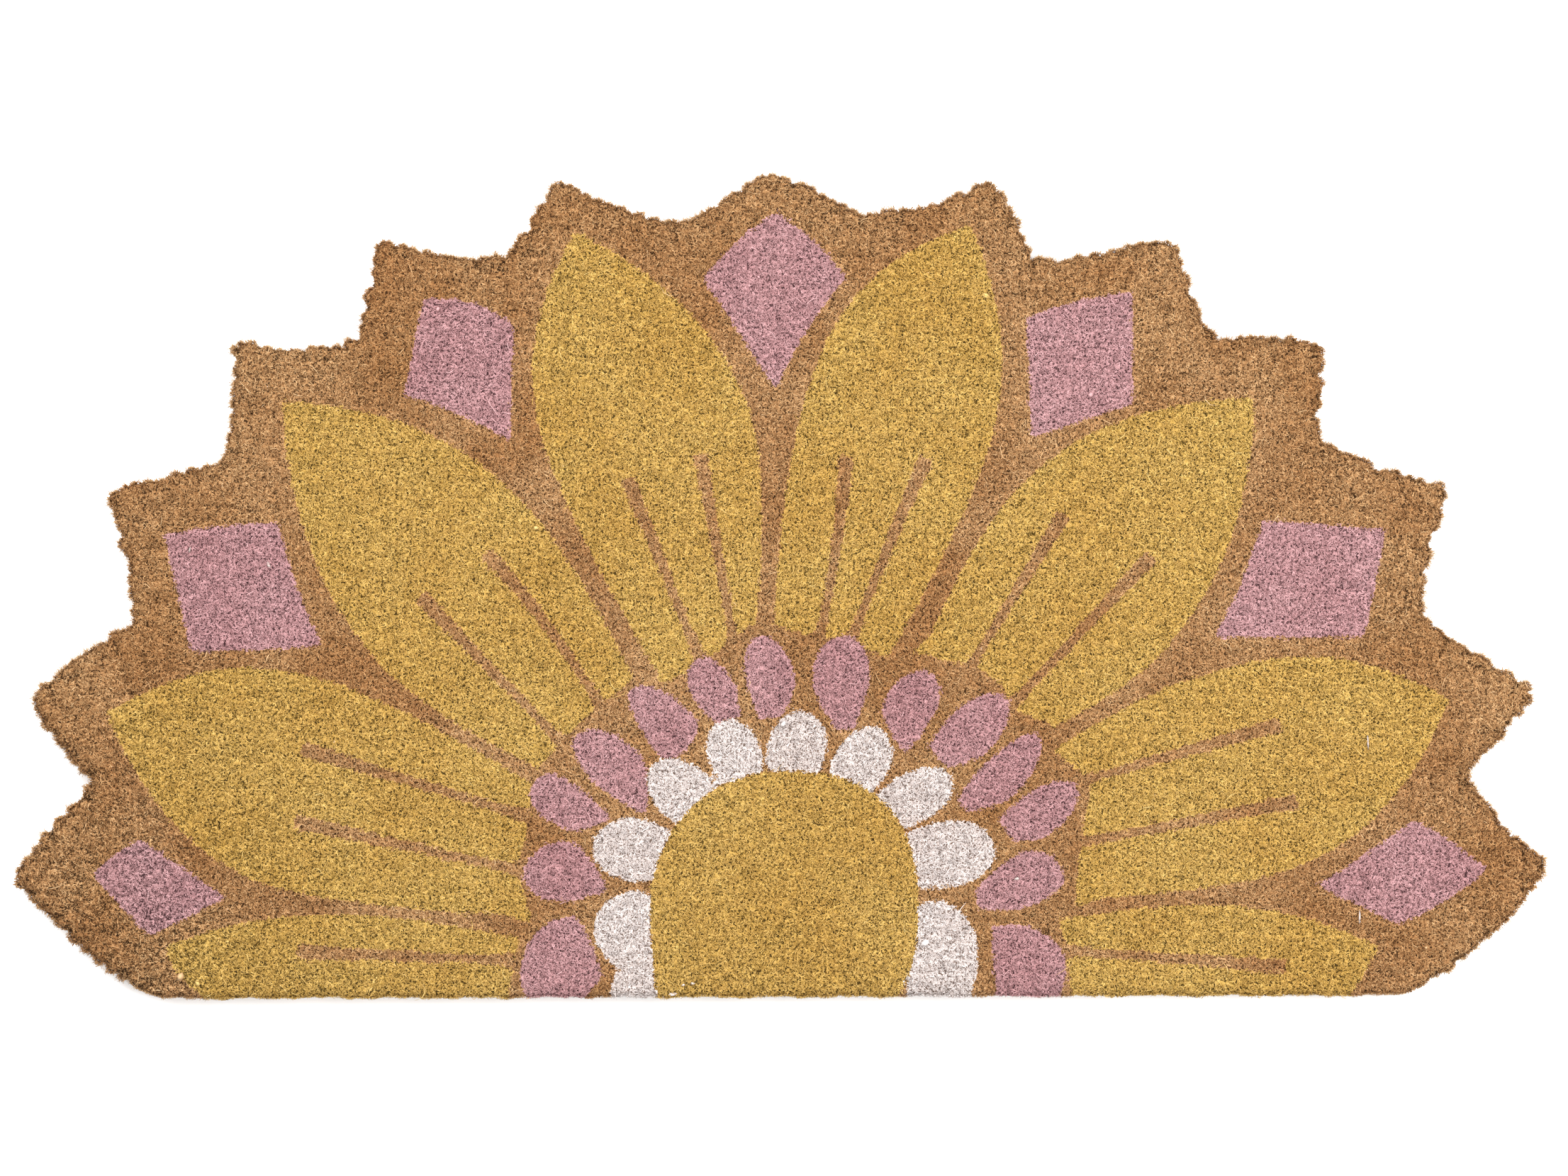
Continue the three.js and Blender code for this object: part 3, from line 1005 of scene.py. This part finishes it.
def clipped_fibres():
    """Middles and strands' facts of the short clipped fibres on the mat's top."""
    places = even_spread(CLIPPED_PITCH)
    count = len(places)
    ways = within(places, lying(places, rng.uniform(*CLIPPED_RUN, count) / 2, 1.0))
    level = SURFACE + lumps_at(places) - edge_drop(places)
    roots = at_height(places - ways, level - rng.uniform(*CLIPPED_ROOT, count) * MM)
    tips = at_height(places + ways, level + rng.uniform(*CLIPPED_TIP, count) * MM)
    widths = rng.uniform(*CLIPPED_WIDTH, count)
    # Painted shade darkens the fibres in the pits
    shades = shade_of(places) * (1 - 0.6 * pits_at(places))
    # Some short wide slivers are dark: painted shadow specks where the pile is open
    shadow_speck = rng.random(count) < SHADOW_SPECK_SHARE
    roots[shadow_speck] = roots[shadow_speck] + (tips[shadow_speck] - roots[shadow_speck]) * 0.5
    roots[shadow_speck, 2] = tips[shadow_speck, 2] - 0.1 * MM
    widths[shadow_speck] *= 1.25
    shades[shadow_speck] *= 0.2
    return places, roots, tips, widths, shades


def loose_fibres():
    """Middles and strands' facts of the longer bent fibres that lie over them."""
    places = even_spread(LOOSE_PITCH)
    count = len(places)
    length = rng.uniform(*LOOSE_LENGTH, count)
    ways = within(places, lying(places, length / 2, 1.3))
    level = SURFACE + lumps_at(places) - edge_drop(places)
    roots = at_height(places - ways, level - rng.uniform(*LOOSE_ROOT, count) * MM)
    tips = at_height(places + ways, level + rng.uniform(*LOOSE_TIP, count) * MM)
    bend = rng.uniform(-LOOSE_BOW, LOOSE_BOW, count)[:, None]
    aside = np.stack([-ways[:, 1], ways[:, 0]], axis=1) * bend
    bows = at_height(aside, rng.uniform(*LOOSE_ARCH, count) * MM)
    return places, roots, tips, bows, rng.uniform(*LOOSE_WIDTH, count), shade_of(places)


def split_by_print(places):
    stray = rng.normal(0, PRINT_FRAY, (len(places), 2))
    return print_at(places + stray)


def long_hairs(places):
    count = len(places)
    middles = at_height(places, SURFACE + lumps_at(places) + 1.2 * MM)
    return hairs(
        middles, 3.5 * MM + rng.exponential(2.5, count) * MM, rng.uniform(0.2, 0.36, count) * MM,
        rng.uniform(0.75, 1, count),
    )


def on_rim(count):
    """Random places on the rim, the way along it and the way out of it."""
    step = rng.uniform(0, len(KNIFE_PATH), count)
    at = step.astype(int)
    ahead = KNIFE_PATH[(at + 1) % len(KNIFE_PATH)] - KNIFE_PATH[at]
    along = unit(ahead)
    outwards = np.stack([along[:, 1], -along[:, 0]], axis=1)
    path = KNIFE_PATH[at] + ahead * (step - at)[:, None]
    return path + outwards * bulge_at(path)[:, None], along, outwards


def cut_edge_fibres():
    """Strands' facts of the near-upright fibres from the backing up, fanning out a little."""
    place, along, outwards = on_rim(RIM_FIBRES)
    count = len(place)
    foot = rng.uniform(*RIM_FOOT, count) * MM
    length = rng.uniform(*RIM_LENGTH, count) * MM
    head = np.minimum(foot + length * 0.93, rng.uniform(*RIM_HEAD, count) * MM)
    depth = rng.uniform(*RIM_DEPTH, count)[:, None] * MM
    spread = rng.normal(0, RIM_LEAN, count)[:, None] * MM
    flare = rng.uniform(*RIM_FLARE, count)[:, None] * MM
    flare = flare * np.where(place[:, 1:] > FRONT_ROW, 1, 0.3)
    roots = at_height(place - outwards * depth, foot)
    tips = at_height(place + outwards * (flare - 0.3 * MM) + along * spread, head)
    widths = rng.uniform(*CLIPPED_WIDTH, count) * 1.3
    # Their shades are kept high: painted light against the shade on the rim's upright sides
    return roots, tips, widths, 0.65 + 0.45 * rng.beta(2.2, 2.2, count)


def fringe():
    """Strands' facts of the fine short fibres that make the rim's outline soft."""
    place, along, outwards = on_rim(FRINGE_FIBRES)
    count = len(place)
    at_front = place[:, 1] < FRONT_ROW
    turn = rng.normal(0, FRINGE_TURN, count)[:, None]
    way = outwards * np.cos(turn) + along * np.sin(turn)
    clump = np.clip(1 + LUMPS(place), 0.2, 2) * (1.4 - np.linalg.norm(from_tuft(place), axis=1))
    reach = 0.2 * MM + rng.exponential(FRINGE_USUAL, count) * clump * MM
    reach = np.minimum(reach, FRINGE_REACH)
    reach = np.where(at_front, 0.35, 1) * reach
    foot = rng.uniform(*FRINGE_FOOT, count) * MM
    roots = at_height(place - way * 1.4 * MM, foot)
    tips = at_height(place + way * reach[:, None], foot + rng.normal(0.1, 0.5, count) * MM)
    widths = rng.uniform(*FRINGE_WIDTH, count) * MM
    # Their shades are high: painted light, as from the bright white surroundings on the fine fringe
    return roots, tips, widths, 0.85 + 0.25 * rng.random(count)


def rim_fibres():
    """Middles and strands' facts of all the rim's fibres, and the finish of each."""
    sets = zip(cut_edge_fibres(), fringe())
    roots, tips, widths, shades = (np.concatenate(fact) for fact in sets)
    finish = split_by_print(roots[:, :2])
    finish[tips[:, 2] < rng.uniform(*INK_GIVES_OUT, len(tips))] = NATURAL
    return (roots[:, :2], roots, tips, widths, shades), finish


def chosen(facts, finishes, finish, where):
    """The facts of one finish and one part of the mat, without their places."""
    mine = (finishes == finish) & where(facts[0])
    return [fact[mine] for fact in facts[1:]]


def anywhere(places):
    return np.full(len(places), True)


def left_half(places):
    return places[:, 0] < HUB[0]


def right_half(places):
    return places[:, 0] >= HUB[0]


def strands_of(short, loose, rim, finish, where):
    """Sets of strands of one piece; each source is its facts and the finish of each fibre."""
    middles, prints = short[0][0], short[1]
    mine = (prints == finish) & where(middles)
    hair_count = max(FEWEST_HAIRS, int(mine.sum() * HAIRS_PER_PIECE / PIECE_FIBRES))
    over = rng.choice(np.flatnonzero(mine), hair_count, replace=False)
    sets = [
        clipped(*chosen(*short, finish, where)),
        bent(*chosen(*loose, finish, where)),
        long_hairs(middles[over]),
        pith_of(finish, where),
    ]
    if finish != NATURAL:
        sets.append(clipped(*chosen(*rim, finish, where)))
    return sets


def add_pile():
    """All the fibres: the two halves of the bare pile, the print's pieces and the cut edge."""
    short, loose = clipped_fibres(), loose_fibres()
    short, loose = (short, split_by_print(short[0])), (loose, split_by_print(loose[0]))
    rim = rim_fibres()
    middle_row = np.median(short[0][0][short[1] == NATURAL, 1])

    def back_half(places):
        return places[:, 1] > middle_row

    def front_half(places):
        return places[:, 1] <= middle_row

    parts = [
        ("coir_pile_back", NATURAL, back_half),
        ("coir_pile_front", NATURAL, front_half),
        ("mustard_print_left", MUSTARD, left_half),
        ("mustard_print_right", MUSTARD, right_half),
        ("pink_print", PINK, anywhere),
        ("white_print", WHITE, anywhere),
    ]
    materials = {finish: fibre_material(finish) for finish in FINISHES}
    pieces = []
    for name, finish, where in parts:
        sets = strands_of(short, loose, rim, finish, where)
        pieces.append(strand_piece(name, sets, materials[finish]))
    cut_edge = clipped(*chosen(*rim, NATURAL, anywhere))
    pieces.append(strand_piece("coir_cut_edge", [cut_edge], materials[NATURAL]))
    return pieces


# The setting

PHOTO_WIDTH = 767.3 * MM  # what the picture spans at the top of the pile
PHOTO_CENTRE = (1.5 * MM, -0.7 * MM)
FLOOR_LEVEL = 0.02 * MM  # a hair over the mat's underside, so that this shows from below


def add_camera():
    data = bpy.data.cameras.new("camera")
    data.lens = 100
    data.sensor_width = 36
    camera = new_object("camera", data)
    distance = PHOTO_WIDTH * data.lens / data.sensor_width
    camera.location = (*PHOTO_CENTRE, PILE_TOP + distance)
    bpy.context.scene.camera = camera


def add_light(name, place, size, power):
    data = bpy.data.lights.new(name, "AREA")
    data.size = size
    data.energy = power
    light = new_object(name, data)
    light.location = place
    light.rotation_euler = (-Vector(place)).to_track_quat("-Z", "Y").to_euler()
    light.visible_camera = False


def add_setting():
    add_camera()
    add_light("softbox_left", (-1.3, 1.2, 1.5), 1.4, 58)
    add_light("softbox_right", (1.6, 0.2, 1.5), 1.6, 61)
    world = bpy.data.worlds.new("studio")
    world.use_nodes = True
    world.node_tree.nodes["Background"].inputs["Color"].default_value = (1, 1, 1, 1)
    world.node_tree.nodes["Background"].inputs["Strength"].default_value = 0.95
    bpy.context.scene.world = world
    bpy.context.scene.view_settings.view_transform = "Standard"
    work = bmesh.new()
    bmesh.ops.create_grid(work, x_segments=1, y_segments=1, size=4)
    bmesh.ops.translate(work, verts=work.verts, vec=(0, 0, FLOOR_LEVEL))
    mesh = bpy.data.meshes.new("floor")
    work.to_mesh(mesh)
    work.free()
    material, _, shader = new_material("pale_floor")
    shader.inputs["Base Color"].default_value = linear("#fbfbfb")
    shader.inputs["Roughness"].default_value = 1.0
    shader.inputs["Specular IOR Level"].default_value = 0.0
    mesh.materials.append(material)
    new_object("floor", mesh)


add_setting()
crowd = crowd_piece()
pile = add_pile()
